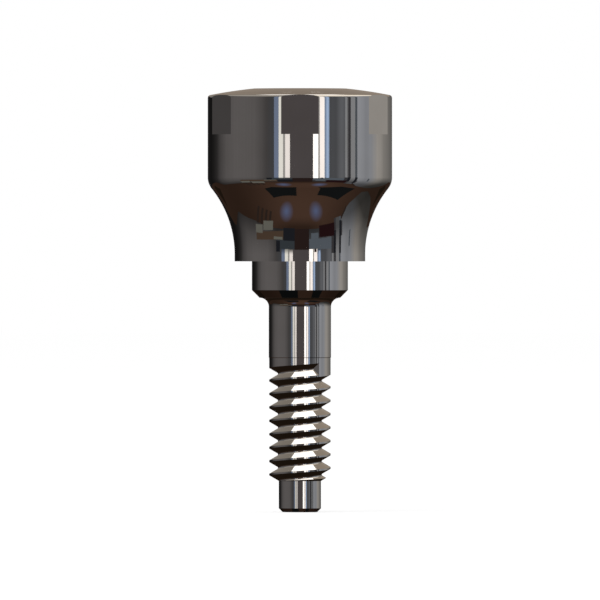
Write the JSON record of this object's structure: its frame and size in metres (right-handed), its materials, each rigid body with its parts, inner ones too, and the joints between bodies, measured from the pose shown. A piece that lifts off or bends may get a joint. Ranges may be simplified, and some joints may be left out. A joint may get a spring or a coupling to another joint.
{
  "type": "magnetic abutment",
  "caption": "Screw-in magnetic abutment for a dental implant: a magnet sealed in a polished titanium head with driver flats, above a register, a threaded shank and a pilot pin.",
  "frame": {"origin": "centre of the seat, the flat ring under the flange that lands on the implant", "axes": "+Z along the turning axis, from the pilot pin up through the head; -Y is square to one driver flat"},
  "size_m": [0.0048, 0.0048, 0.011],
  "materials": {
    "polished_titanium": "mirror polished",
    "magnet_alloy": "ground"
  },
  "bodies": {
    "root": {"abutment_body": "polished_titanium", "magnet": "magnet_alloy", "magnet_cap": "polished_titanium"}
  },
  "joints": []
}
